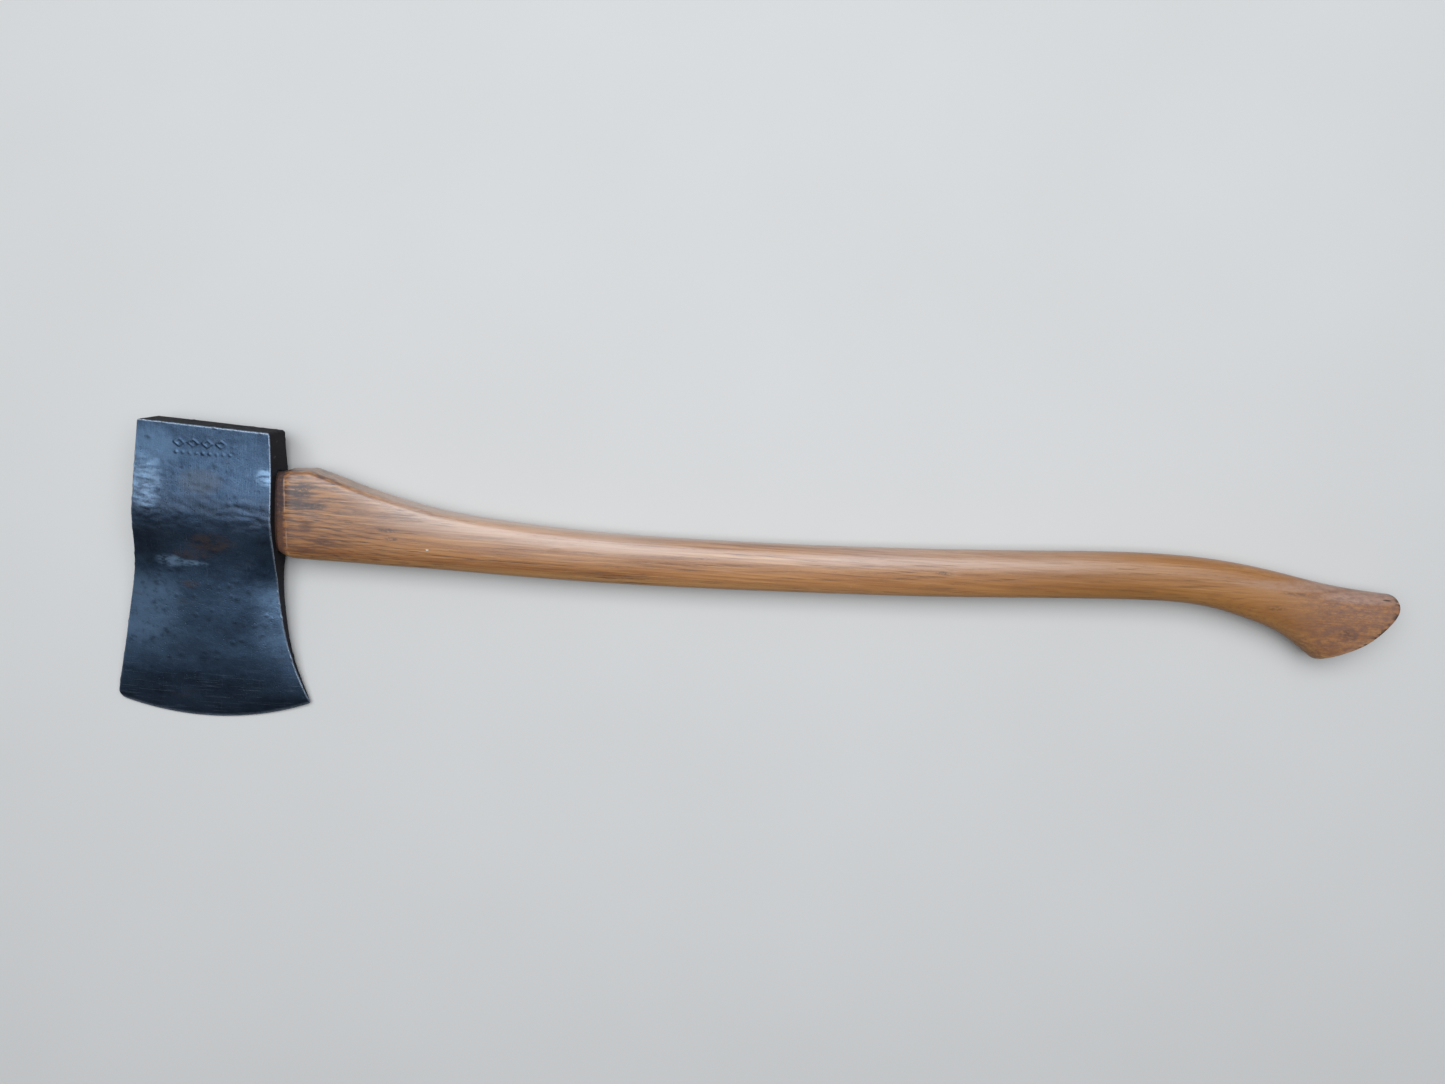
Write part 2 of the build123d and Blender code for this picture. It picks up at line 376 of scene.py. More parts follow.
def head_end(loop, outline, outward):
    """Rings from one end loop in to the eye, over the head's top face or haft-side face."""
    y, z = loop[:, 1], loop[:, 2]
    angle = np.arctan2(z, y - EYE_MIDDLE)
    rings = []
    for share in [0.02, 0.08, 0.18, 0.32, 0.48, 0.64, 0.8, 0.92, 0.98, 1.0]:
        eye_y, eye_z = eye_point(smooth(outline, y), angle)
        ring_y = y + (eye_y - y) * share
        ring_z = z + (eye_z - z) * share
        ring_x = smooth(outline, ring_y)
        if share == 1.0:
            ring_x = ring_x - outward * EYE_CHAMFER
        rings.append(np.stack([ring_x, ring_y, ring_z], 1))
    return rings


def mark_depth(x, y):
    """A plain row of lozenges over a row of dots, where a worn stamp would be."""
    depth = np.zeros(len(x))
    for i in range(4):
        across = np.abs(x - LOZENGES[0] - i * LOZENGE_STEP) / LOZENGE_SIZE[0]
        size = across + np.abs(y - LOZENGES[1]) / LOZENGE_SIZE[1]
        depth = np.maximum(depth, ease(-np.abs(size - 0.85), -0.36, -0.14))
    for i in range(9):
        size = np.hypot(x - DOTS[0] - i * DOT_STEP, y - DOTS[1])
        depth = np.maximum(depth, ease(-size, -1.4, -0.5))
    return depth


def pit_depth(x, y, dice):
    """Clusters of small pits left by old rust on one cheek."""
    depth = np.zeros(len(x))
    for middle_x, middle_y, size in PIT_CLUSTERS:
        for _ in range(PITS_EACH):
            at = (dice.gauss(middle_x, size), dice.gauss(middle_y, size * 0.7))
            radius, deep, long = dice.uniform(0.7, 1.8), dice.uniform(0.08, 0.24), dice.uniform(1.0, 1.8)
            away = ((x - at[0]) / long) ** 2 + (y - at[1]) ** 2
            depth = np.maximum(depth, deep * np.exp(-away / radius**2))
    return depth


def forging(points, outer, thin):
    """Depth of the forging's waves, ripples and rough band, and where that band is."""
    x, y, _ = points.T
    height = (0.05 + 0.17 * thin) * field(points, 42, 1) + (0.02 + 0.07 * thin) * field(points, 13, 2)
    height += 0.02 * field(points, 4.5, 3)
    # The cheek swells a little higher up beside the head's top face than beside the haft.
    below = (y - CREST) - CREST_SLANT * (CHEEK_MIDDLE - x) / CHEEK_MIDDLE
    height -= CREST_FILL * ease(-below, -6, 6) * ease(below, -36, -14)
    band = ease(y, -20, -6) * ease(-y, -26, -8) * (0.45 + 0.55 * ease(field(points, 30, 6), -0.25, 0.25))
    side = ease(-x, -36, -8) * ease(y, -26, -8) * ease(-y, -46, -32)
    rough = np.clip(band + 0.6 * side, 0, 1) * outer
    lumps = field(points, 6.0, 4, stretch=(2.6, 1, 1), octaves=3)
    ridges = 1 - 2 * np.abs(field(points, 7.0, 5, stretch=(2.4, 1, 1.5), octaves=2))
    return height + rough * (0.22 * lumps + 0.26 * ridges), rough


def rust_pits(points, outer):
    """Depth of the rust pits on both cheeks."""
    x, y, z = points.T
    dice = random.Random(PIT_SEED)
    pits = np.zeros(len(points))
    for sign in (1, -1):
        chosen = (z * sign > 0.5) & (outer > 0)
        pits[chosen] = pit_depth(x[chosen], y[chosen], dice)
    return pits


def lie_on_floor(mesh):
    """Wears the swell that the head lies on flat at the floor."""
    points = get_points(mesh)
    points[:, 2] = np.maximum(points[:, 2], 0)
    set_points(mesh, points)


def make_head():
    along, loops = head_loops()
    stations, around = loops.shape[:2]
    crown = head_end(loops[0], swapped(TOP_FACE), -1)
    mouth = head_end(loops[-1], swapped(HAFT_FACE), 1)
    wall = [mouth[-1] + (crown[-1] - mouth[-1]) * share for share in (0.1, 0.4, 0.7, 0.95)]
    rows = crown[::-1] + list(loops) + mouth + wall
    points = np.vstack(rows)
    head = make_piece("forged_head", points, tube_faces(len(rows), around, close=True))
    mesh = head.data

    # The outer vertices, and how far each one is from the top face to the haft side.
    first, last = len(crown) * around, (len(crown) + stations) * around
    outer, s = np.zeros((2, len(points)))
    outer[first:last] = 1
    s[first:last] = np.repeat(along, around)
    x, y, z = points.T

    # The tube's faces point inwards here, so a height goes into the steel: what is taken from
    # it, the mark, the pits and the nicks, stands out. The faces are turned outwards at the end.
    thin = ease(np.abs(z), 1.0, 6.0)
    height, rough = forging(points, outer, thin)
    pits = rust_pits(points, outer)
    stamp = mark_depth(x, y) * (z > 0) * outer * (0.5 + 0.5 * ease(field(points, 9, 8), -0.35, 0.2))
    height -= pits * thin + MARK_DEPTH * stamp
    # Small nicks along the arrises round the poll and the blade's sides.
    from_poll = poll_line(x) - y
    arris = np.maximum(ease(-s, -0.010, -0.003) * 0.6, ease(s, 0.990, 0.997))
    arris = np.maximum(arris, ease(-from_poll, -1.3, -0.5)) * outer
    height -= NICK_DEPTH * np.clip(field(points, 3.4, 7) - 0.22, 0, 1) * arris
    push_out(mesh, height * outer)

    facing = np.abs(get_points(mesh, "normal")[:, 2])
    ground = np.hypot(x - BIT_CENTRE[0], y - BIT_CENTRE[1])
    store(mesh, "arris", arris * ease(facing, 0.2, 0.6))
    store(mesh, "edge", ease(ground, BIT_RADIUS - 2.5, BIT_RADIUS - 0.1) * outer)
    store(mesh, "rough", rough)
    store(mesh, "stamp", stamp)
    store(mesh, "pits", np.clip(pits * 5, 0, 1))
    store(mesh, "flank", ease(-facing, -0.7, -0.35))
    mesh.flip_normals()
    mesh.transform(rest)
    lie_on_floor(mesh)
    return head


# --- The haft ---

RING = 112  # points round each of the haft's rings
CLEAR = 0.12  # between the tongue and the eye's wall
DENT_DEPTH = 0.7
GRAIN_STRAIGHT = 715.0  # the grain runs straight on from here, through the knob


def haft_section(x, angle):
    """Height and half thickness of the haft at each x and angle, 0 being its back."""
    columns = np.array(STATIONS).T
    back, belly, thick, square_back, square_belly = [smooth(zip(columns[0], c), x) for c in columns[1:]]
    across, out = np.cos(angle), np.sin(angle)
    power = 2 / np.where(across >= 0, square_back, square_belly)
    height = np.sign(across) * np.abs(across) ** power
    half = np.sign(out) * np.abs(out) ** power * thick / 2
    return (back + belly) / 2 + height * (back - belly) / 2, half


def tongue_section(x, angle):
    y, z = eye_point(x, angle)
    return y - CLEAR * np.cos(angle), z - CLEAR * np.sin(angle)


def even_angles(section, x):
    """Angles that space points evenly round a section."""
    angle = np.linspace(0, tau, 4 * 360 + 1)  # quarter degrees
    y, z = section(np.full(len(angle), x), angle)
    length = np.concatenate([[0], np.cumsum(np.hypot(np.diff(y), np.diff(z)))])
    return np.interp(np.arange(RING) * length[-1] / RING, length, angle)


def ring_at(section, x):
    angle = even_angles(section, x)
    y, z = section(np.full(RING, x), angle)
    return np.stack([np.full(RING, x), y, z], 1)


def knob_x(y):
    return smooth(swapped(KNOB_END), y)


def knob_rings():
    """Rings that turn from square across the haft to lie along the knob's end face."""
    angle = even_angles(haft_section, KNOB_START)
    # Halve the stretch that holds the end face until it is found, for each point of the ring.
    low, high = np.full(RING, KNOB_SEARCH[0]), np.full(RING, KNOB_SEARCH[1])
    for _ in range(40):
        middle = (low + high) / 2
        past = middle > knob_x(haft_section(middle, angle)[0])
        low, high = np.where(past, low, middle), np.where(past, middle, high)
    end = low - KNOB_ARRIS
    rings = []
    for share in np.linspace(0, 1, KNOB_RINGS + 1)[1:]:
        x = KNOB_START + (end - KNOB_START) * share
        y, z = haft_section(x, angle)
        rings.append(np.stack([x, y, z], 1))
    return rings


def dome_rings(rim):
    """The knob's end face: a low dome with a soft arris."""
    middle = (rim[:, 1].max() + rim[:, 1].min()) / 2
    rings = []
    for share, drop in DOME:
        y = middle + (rim[:, 1] - middle) * share
        x = np.minimum(knob_x(y), rim[:, 0] + KNOB_ARRIS + DOME_SLOPE * (1 - share)) - drop
        rings.append(np.stack([x, y, rim[:, 2] * share], 1))
    return rings


def tongue_rings(proud=0.0):
    """The haft's tongue, from its end in the head's crown to the shoulder."""
    start = TONGUE_END - proud
    end = ring_at(tongue_section, start)
    middle = np.array([end[0, 0], EYE_MIDDLE, 0])
    cap = [middle + (end - middle) * share for share in (0.02, 0.3, 0.6, 0.85, 0.96)]
    cap = [ring * [0, 1, 1] + [start, 0, 0] for ring in cap]
    return cap + [ring_at(tongue_section, x) for x in np.linspace(start + 0.5, TONGUE_ROOT, 24)]


def wedge_cutter(name, middle, sizes, end, width, across):
    """A plain wedge-shaped solid: across the eye for a steel wedge, along it for the wooden one."""
    thick, tip, reach = sizes
    slope = (thick - tip) / (reach - end)
    corners = [(CUTTER_START, thick / 2 + slope * (end - CUTTER_START) / 2), (reach, tip / 2)]
    if not across:
        # The saw kerf runs on past the wooden wedge's tip.
        corners.append((KERF_END, tip / 2))
    profile = corners + [(x, -half) for x, half in corners[::-1]]
    points = []
    for side in (-width / 2, width / 2):
        for x, half in profile:
            points.append((x, middle + half, side) if across else (x, middle + side, half))
    count = len(profile)
    faces = [(i, (i + 1) % count, count + (i + 1) % count, count + i) for i in range(count)]
    faces += [tuple(range(count))[::-1], tuple(range(count, 2 * count))]
    cutter = make_piece(name, points, faces)
    cutter.data.shade_flat()
    if not across:
        cutter.data.flip_normals()
    return cutter


def steel_places():
    return [EYE_MIDDLE - STEEL_WEDGE_SPACING / 2, EYE_MIDDLE + STEEL_WEDGE_SPACING / 2]


def steel_slots():
    """A cutter for each steel wedge."""
    return [
        wedge_cutter(f"slot_{i}", middle, STEEL_WEDGE, STEEL_WEDGE_END, STEEL_WEDGE_WIDTH, True)
        for i, middle in enumerate(steel_places())
    ]


def grain_line(x):
    """Height of the haft's middle, which the wood's grain follows, but for the knob."""
    middles = [(station[0], (station[1] + station[2]) / 2) for station in STATIONS]
    return smooth(middles, np.clip(x, 101.5, GRAIN_STRAIGHT))


def make_haft():
    rows = tongue_rings()
    # Closest at the shoulder's rim, and closer along the shoulder than beyond it.
    rows += [ring_at(haft_section, x) for x in (96.5, 97.1, 98.0, 99.2, 100.4)]
    rows += [ring_at(haft_section, x) for x in np.arange(101.5, 160, 1.3)]
    rows += [ring_at(haft_section, x) for x in np.arange(160, KNOB_START, 2.6)]
    rows += [ring_at(haft_section, KNOB_START)]
    rows += knob_rings()
    body_rows = len(rows)
    rows += dome_rings(rows[-1])
    haft = make_tube("hickory_haft", rows)
    mesh = haft.data
    points = np.vstack(rows)
    x = points[:, 0]
    shown = ease(x, 96, 99)
    height = 0.10 * field(points, 60, 11, stretch=(2, 1, 1)) + 0.02 * field(points, 16, 12)
    dents = np.clip(field(points, 9, 14, stretch=(1.6, 1, 1)) - 0.45, 0, 1)
    height -= DENT_DEPTH * dents
    push_out(mesh, height * shown)
    end_face = np.zeros(len(points))
    end_face[body_rows * RING:] = 1
    end_face[x < TONGUE_END + 0.2] = 1
    store(mesh, "end_face", end_face)
    past_rim = np.repeat(np.arange(len(rows)), RING) - body_rows
    store(mesh, "end_arris", ease(past_rim, -4, 0) * ease(-past_rim, -6, -2))
    store(mesh, "level", points[:, 1] - grain_line(x))
    store(mesh, "back", ease(get_points(mesh, "normal")[:, 1], 0.25, 0.7))
    # The kerf and the slots. All the cutters' faces point inwards, so they take nothing away
    # from the haft or the wooden wedge, and the wedges pass through the wood.
    kerf = wedge_cutter("kerf", EYE_MIDDLE, WOODEN_WEDGE, TONGUE_END, KERF_WIDTH, False)
    cutters = [kerf] + steel_slots()
    combine(haft, cutters, "DIFFERENCE")
    remove(cutters)
    haft.data.transform(rest)
    return haft


def make_wooden_wedge():
    """The wedge along the eye, as wide as the tongue. Its notches fail as the kerf does."""
    wedge = make_tube("kerf_wedge", tongue_rings(WEDGE_PROUD))
    thick, tip, reach = WOODEN_WEDGE
    sizes = (thick - WEDGE_GAP, tip - WEDGE_GAP, reach)
    shape = wedge_cutter("shape", EYE_MIDDLE, sizes, TONGUE_END, KERF_WIDTH, False)
    combine(wedge, [shape], "INTERSECT")
    slots = steel_slots()
    combine(wedge, slots, "DIFFERENCE")
    remove([shape] + slots)
    wedge.data.transform(rest)
    return wedge


def make_steel_wedge(name, middle, seed):
    """A flat iron wedge, its end spread and dented by the hammer."""
    thick, tip, reach = STEEL_WEDGE
    side_gap, end_gap = STEEL_WEDGE_GAPS
    count = 40
    turn_by = np.arange(count) * tau / count
    rows = []
    for x in [STEEL_WEDGE_END - HAMMERED] * 3 + list(np.linspace(STEEL_WEDGE_END - 0.2, reach, 30)):
        share = np.clip((x - STEEL_WEDGE_END) / (reach - STEEL_WEDGE_END), 0, 1)
        half = (thick + (tip - thick) * share) / 2 - side_gap
        width = STEEL_WEDGE_WIDTH / 2 - end_gap - STEEL_WEDGE_TAPER * share
        ends = len(rows)
        shrink = (0.1, 0.6, 0.94)[ends] if ends < 3 else 1.0
        across = np.sign(np.cos(turn_by)) * np.abs(np.cos(turn_by)) ** 0.25 * width * shrink
        out = np.sign(np.sin(turn_by)) * np.abs(np.sin(turn_by)) ** 0.35 * half * shrink
        rows.append(np.stack([np.full(count, x), middle + out, across], 1))
    wedge = make_tube(name, rows)
    mesh = wedge.data
    points = np.vstack(rows)
    struck = ease(-points[:, 0], -0.1, 0.3)
    push_out(mesh, struck * 0.22 * field(points, 2.5, seed, octaves=2))
    mesh.transform(rest)
    return wedge


# --- Materials ---

class Paint:
    """Builds one procedural material, measured in the axe's own millimetres."""

    def __init__(self, name):
        self.material = bpy.data.materials.new(name)
        self.material.use_nodes = True
        self.tree = self.material.node_tree
        self.tree.nodes.clear()
        self.shader = self.add("ShaderNodeBsdfPrincipled")
        self.add("ShaderNodeOutputMaterial", self.shader.outputs[0])
        seat = self.add("ShaderNodeTexCoord").outputs["Object"]
        own = self.add("ShaderNodeMapping", vector_type="TEXTURE")
        self.fill_named(own, Vector=seat, Location=offset, Rotation=(LEAN, 0, 0), Scale=(0.001,) * 3)
        self.place = own.outputs["Vector"]
        self.x, self.y, self.z = self.add("ShaderNodeSeparateXYZ", self.place).outputs
        self.colour = None

    def add(self, kind, *inputs, **settings):
        """A node with its settings made and its inputs filled, in order; None skips one."""
        node = self.tree.nodes.new(kind)
        for name, value in settings.items():
            setattr(node, name, value)
        sockets = [socket for socket in node.inputs if socket.enabled]
        for socket, value in zip(sockets, inputs):
            self.fill(socket, value)
        return node

    def fill(self, socket, value):
        if isinstance(value, bpy.types.NodeSocket):
            self.tree.links.new(value, socket)
        elif value is not None:
            socket.default_value = value

    def fill_named(self, node, **values):
        """Fills a node's inputs by name, with _ for each space in it."""
        for name, value in values.items():
            self.fill(node.inputs[name.replace("_", " ")], value)

    def math(self, operation, *values):
        """The operation on one value or two, or in turn along a row of more."""
        def step(*pair):
            return self.add("ShaderNodeMath", *pair, operation=operation).outputs[0]
        return step(*values) if len(values) < 3 else reduce(step, values)

    def times(self, *values):
        return self.math("MULTIPLY", *values)

    def plus(self, *values):
        return self.math("ADD", *values)

    def most(self, *values):
        return self.math("MAXIMUM", *values)

    def ease(self, value, low, high, start=0.0, end=1.0):
        """start below low, end above high, and smooth between."""
        node = self.add("ShaderNodeMapRange", interpolation_type="SMOOTHSTEP")
        self.fill_named(node, Value=value, From_Min=low, From_Max=high, To_Min=start, To_Max=end)
        return node.outputs["Result"]

    def between(self, value, low, high, soft):
        """1 between low and high, falling to 0 over a soft margin."""
        rise = self.ease(value, low - soft, low + soft)
        return self.times(rise, self.ease(value, high - soft, high + soft, 1.0, 0.0))

    def stretched(self, size, seed):
        """The place divided by a size along each axis, moved on by a seed."""
        scale = tuple(1 / s for s in size)
        node = self.add("ShaderNodeVectorMath", self.place, scale, (seed, seed * 1.7, seed * 0.6),
                        operation="MULTIPLY_ADD")
        return node.outputs[0]

    def noise(self, size, seed, detail, rough=0.5, bend=0.0):
        """Noise from 0 to 1 with features of a size in millimetres along each axis."""
        node = self.add("ShaderNodeTexNoise")
        self.fill_named(node, Vector=self.stretched(size, seed), Scale=1.0, Detail=detail,
                        Roughness=rough, Distortion=bend)
        return node.outputs[0]

    def cells(self, size, seed):
        """Distance to the nearest of many scattered points."""
        node = self.add("ShaderNodeTexVoronoi")
        self.fill_named(node, Vector=self.stretched(size, seed), Scale=1.0)
        return node.outputs["Distance"]

    def spot(self, middle, size):
        """1 in the middle of a patch on the flank, falling to 0 at its rim."""
        along = self.times(self.plus(self.x, -middle[0]), 1 / size[0])
        up = self.times(self.plus(self.y, -middle[1]), 1 / size[1])
        return self.ease(self.plus(self.times(along, along), self.times(up, up)), 1.0, 0.1)

    def attribute(self, name):
        return self.add("ShaderNodeAttribute", attribute_name=name).outputs["Fac"]

    def blend(self, share, a, b):
        """Colour a turning to colour b as share goes from 0 to 1."""
        a, b = [(*colour, 1.0) if isinstance(colour, tuple) else colour for colour in (a, b)]
        node = self.add("ShaderNodeMix", share, a, b, data_type="RGBA")
        return [socket for socket in node.outputs if socket.enabled][0]

    def tint(self, share, colour):
        """Turns the material's colour so far towards another one."""
        self.colour = self.blend(share, self.colour, colour)

    def relief(self, height, strength=1.0):
        """Bump from a height in millimetres."""
        node = self.add("ShaderNodeBump")
        self.fill_named(node, Height=height, Strength=strength, Distance=0.001)
        return node.outputs["Normal"]

    def finish(self, rough, normal, **others):
        self.fill_named(self.shader, Base_Color=self.colour, Roughness=rough, Normal=normal, **others)
        return self.material


# Colours are linear red, green and blue. These are the steel's.
PATINA_DARK, PATINA_LIGHT = (0.024, 0.044, 0.080), (0.050, 0.091, 0.152)
PATINA_PALE, PATINA_GRAIN = (0.080, 0.128, 0.194), (0.020, 0.030, 0.046)
BRUSHED = (0.14, 0.21, 0.30)
STEEL_SHADE, CREST_SHADE = (0.019, 0.027, 0.042), (0.022, 0.034, 0.052)
BLADE_SKY_REFLECTION, BLADE_SIDE_HIGHLIGHT, POLL_SKY_REFLECTION = (0.075, 0.125, 0.200), (0.145, 0.235, 0.355), (0.105, 0.175, 0.270)
PATINA_HIGHLIGHT, GREY_PATCH = (0.22, 0.33, 0.46), (0.066, 0.076, 0.092)
RUST, DIRT = (0.058, 0.036, 0.025), (0.010, 0.012, 0.016)
SIDE_FACE_SHADE, BARE_STEEL = (0.019, 0.016, 0.016), (0.33, 0.39, 0.47)


def steel_patina(p, shade_band, cloud, mottle, brush, fine):
    """Blue-black patina, brushed on the poll half, with painted shade below the eye and by the bit,
    painted sky reflections on the blade and by the top face, and painted highlights down the blade's
    sides.
    """
    poll_half = p.ease(p.y, -10, 10)
    blade = p.ease(p.y, -40, -60)
    low = p.ease(p.y, -104, -132)
    p.colour = p.blend(p.ease(cloud, 0.28, 0.74), PATINA_DARK, PATINA_LIGHT)
    p.tint(p.ease(mottle, 0.35, 0.8, 0, 0.5), PATINA_PALE)
    p.tint(p.ease(fine, 0.62, 0.36, 0, 0.45), PATINA_GRAIN)
    streaks = p.times(poll_half, p.ease(brush, 0.45, 0.75), p.ease(cloud, 0.3, 0.6))
    p.tint(p.times(streaks, 0.22), BRUSHED)
    # Painted shade below the eye's swell and by the bit.
    p.tint(p.times(p.most(p.times(shade_band, 0.75), low), 0.55), STEEL_SHADE)
    p.tint(p.times(p.spot((46, 4), (34, 8)), 0.45), CREST_SHADE)
    # A painted reflection of the sky over the blade, above the bit.
    p.tint(p.times(blade, p.ease(low, 0, 1, 0.4, 0)), BLADE_SKY_REFLECTION)
    # Painted highlights down the blade's two sides.
    sides = p.most(p.ease(p.x, 42, 4), p.times(p.ease(p.x, 72, 96), 0.7))
    above_bit = p.ease(p.y, -88, -112, 1, 0)
    side_highlight = p.times(blade, sides, above_bit, p.ease(mottle, 0.2, 0.55))
    p.tint(side_highlight, BLADE_SIDE_HIGHLIGHT)
    # A painted reflection of the sky by the top face, above the swell.
    p.tint(p.times(p.spot((10, 42), (26, 18)), 0.5), POLL_SKY_REFLECTION)


def steel_highlights(p):
    """Painted highlights by the eye's swell and below it, and beside the top face and the haft side."""
    glint_mask = p.most(
        p.spot((22, -37), (13, 5.5)), p.times(p.spot((8, 18), (15, 24)), 0.6),
        p.times(p.spot((92, 27), (10, 8)), 0.8), p.times(p.spot((38, -38), (14, 3.0)), 0.8),
    )
    return p.times(glint_mask, p.ease(p.noise((7, 3.0, 5), 11, 3, 0.55), 0.32, 0.62), 0.8)


def steel_rust(p, rough, mottle, fine):
    """Rust in specks and stains, most of it on the fall below the eye."""
    specks = p.cells((1.5, 1.1, 1.4), 4)
    rusty = p.most(
        p.spot((52, -22), (22, 9)), p.times(p.spot((38, -31), (18, 5)), 0.8),
        p.times(p.spot((36, -53), (9, 4)), 0.9), p.times(rough, 0.25),
    )
    rust = p.times(rusty, p.ease(specks, 0.52, 0.20), p.ease(fine, 0.35, 0.6))
    stain = p.times(rusty, p.ease(mottle, 0.34, 0.60), 0.7)
    cloudy = p.times(p.ease(p.noise((40, 14, 30), 6, 4, 0.65), 0.62, 0.74), 0.35)
    return p.most(rust, stain, cloudy)


def steel_scratches(p):
    """Long scratches along the bit, and a few across the blade."""
    long_scratch = p.ease(p.noise((30, 0.24, 4), 7, 1, 0.4, 0.12), 0.69, 0.72)
    cross_scratch = p.ease(p.noise((0.3, 20, 4), 8, 1, 0.4, 0.25), 0.735, 0.76)
    near_bit = p.ease(p.y, -95, -135)
    both = p.most(p.times(long_scratch, p.plus(0.15, near_bit)), p.times(cross_scratch, 0.5))
    return p.times(both, 0.38)


def forged_steel():
    """Old forged steel: patina, rust specks, pits and bright arrises, with painted shade on the side
    faces and cheeks, and painted highlights and sky reflections.
    """
    p = Paint("forged_steel")
    arris, edge, rough, pits, stamp, flank = [
        p.attribute(name) for name in ("arris", "edge", "rough", "pits", "stamp", "flank")
    ]
    shade_band = p.between(p.y, -36, -12, 6)
    cloud = p.noise((30, 20, 30), 1, 5, 0.62)
    mottle = p.noise((7, 6, 7), 10, 4, 0.65)
    brush = p.noise((0.55, 22, 3), 2, 3, 0.65)
    fine = p.noise((0.9, 0.9, 0.9), 3, 3, 0.7)
    steel_patina(p, shade_band, cloud, mottle, brush, fine)
    # Painted highlights on the patina.
    p.tint(steel_highlights(p), PATINA_HIGHLIGHT)
    p.tint(p.times(p.spot((46, 21), (19, 11)), 0.5), GREY_PATCH)
    rust = steel_rust(p, rough, mottle, fine)
    p.tint(rust, RUST)
    grain_pits = p.cells((2.6, 2.2, 2.4), 12)
    peppered = p.times(p.ease(grain_pits, 0.22, 0.12), p.ease(p.noise((24, 20, 20), 13, 2), 0.46, 0.60))
    dirt = p.most(p.times(pits, 0.4), p.times(stamp, 0.12), p.times(peppered, 0.35))
    p.tint(dirt, DIRT)
    # Painted shade on the head's narrow side faces.
    p.tint(p.times(flank, 0.95), SIDE_FACE_SHADE)
    scratch = steel_scratches(p)
    bright = p.most(p.times(p.most(arris, edge), p.ease(fine, 0.30, 0.55), 0.75), scratch)
    p.tint(bright, BARE_STEEL)
    roughness = p.plus(
        p.ease(cloud, 0.3, 0.7, 0.32, 0.44), p.times(shade_band, 0.06), p.times(rust, 0.25),
        p.times(flank, 0.35), p.times(bright, -0.05),
    )
    height = p.plus(
        p.times(fine, 0.09), p.times(brush, p.ease(p.y, -10, 10), 0.03),
        p.times(p.noise((5, 4, 5), 9, 3), 0.10), p.times(mottle, 0.10), p.times(peppered, -0.07),
        p.times(rust, 0.03), p.times(scratch, -0.04),
    )
    return p.finish(roughness, p.relief(height), Metallic=p.ease(flank, 0, 1, 0.85, 0),
                    Specular_IOR_Level=p.ease(flank, 0, 1, 0.5, 0.06))


# The wood's colours.
WOOD_DARK, WOOD_LIGHT, EARLY_WOOD = (0.285, 0.110, 0.033), (0.430, 0.195, 0.068), (0.150, 0.055, 0.020)
STREAK_LIGHT, STREAK_DARK = (0.60, 0.32, 0.125), (0.125, 0.044, 0.016)
FIBRE_LIGHT, FIBRE_DARK = (0.48, 0.265, 0.118), (0.135, 0.050, 0.020)
BACK_LIT_TAN, PORE, END_GRAIN = (0.50, 0.275, 0.110), (0.050, 0.020, 0.012), (0.065, 0.028, 0.012)
GRIME, NICKED, WOOD_HIGHLIGHT = (0.056, 0.028, 0.024), (0.060, 0.042, 0.042), (0.44, 0.29, 0.21)
SMUDGE = (0.045, 0.025, 0.022)
KNOB_BROWN, KNOB_SHEEN = (0.165, 0.078, 0.052), (0.40, 0.270, 0.215)
FLANK_SHEEN, GRIP_PALE = (0.46, 0.335, 0.270), (0.55, 0.31, 0.18)
LOW_RED, LOW_ORANGE, FAR_GOLD = (0.190, 0.070, 0.024), (0.52, 0.24, 0.09), (0.28, 0.115, 0.024)
WORN_PALE, WORN_DARK, FLECK = (0.50, 0.29, 0.15), (0.030, 0.017, 0.012), (0.70, 0.68, 0.64)
TREE_HEART = (12.0, -46.0)  # height above the haft's middle, and depth behind the cheek
# Dark smudges: each one's middle, along and up the haft, and its size.
SMUDGES = [
    ((115, 19), (9, 7)), ((120, 9), (16, 3)), ((174, -4), (9, 2.2)), ((176, -10), (6, 1.8)),
    ((843, -27), (9, 6)), ((802, -1), (14, 1.2)), ((790, -12), (9, 2.6)), ((558, -5), (9, 1.6)),
    ((130, -16), (9, 3)),
]


def year_rings(p, level):
    """The soft, dark part of each year's ring, by distance from the tree's heart."""
    up, deep = TREE_HEART
    from_heart = p.math("SQRT", p.plus(
        p.math("POWER", p.plus(level, -up), 2.0), p.math("POWER", p.plus(p.z, -deep), 2.0)
    ))
    sway = p.noise((280, 60, 60), 21, 2)
    year = p.math("FRACT", p.plus(p.times(from_heart, 1.1), p.times(p.x, 0.01), p.times(sway, 3.4)))
    return p.times(p.ease(year, 0, 0.12), p.ease(year, 0.2, 0.55, 1, 0))


def wood_grain(p, knob, back, early, tone, streak, fibre):
    """The wood's own colour, rings, streaks that fade on the knob and fibre, and painted light: a lighter
    tan on the back, which faces the light.
    """
    straight = p.ease(knob, 0.2, 1, 1, 0.3)
    p.colour = p.blend(p.ease(tone, 0.3, 0.7), WOOD_DARK, WOOD_LIGHT)
    p.tint(p.times(early, p.ease(knob, 0, 1, 0.34, 0.12)), EARLY_WOOD)
    p.tint(p.times(p.ease(streak, 0.5, 0.75, 0, 0.6), straight), STREAK_LIGHT)
    p.tint(p.times(p.ease(streak, 0.49, 0.27, 0, 0.65), straight), STREAK_DARK)
    p.tint(p.ease(fibre, 0.5, 0.78, 0, 0.5), FIBRE_LIGHT)
    p.tint(p.ease(fibre, 0.48, 0.26, 0, 0.5), FIBRE_DARK)
    # Painted light: the back, which faces the light, is a lighter tan.
    p.tint(p.times(back, 0.6), BACK_LIT_TAN)


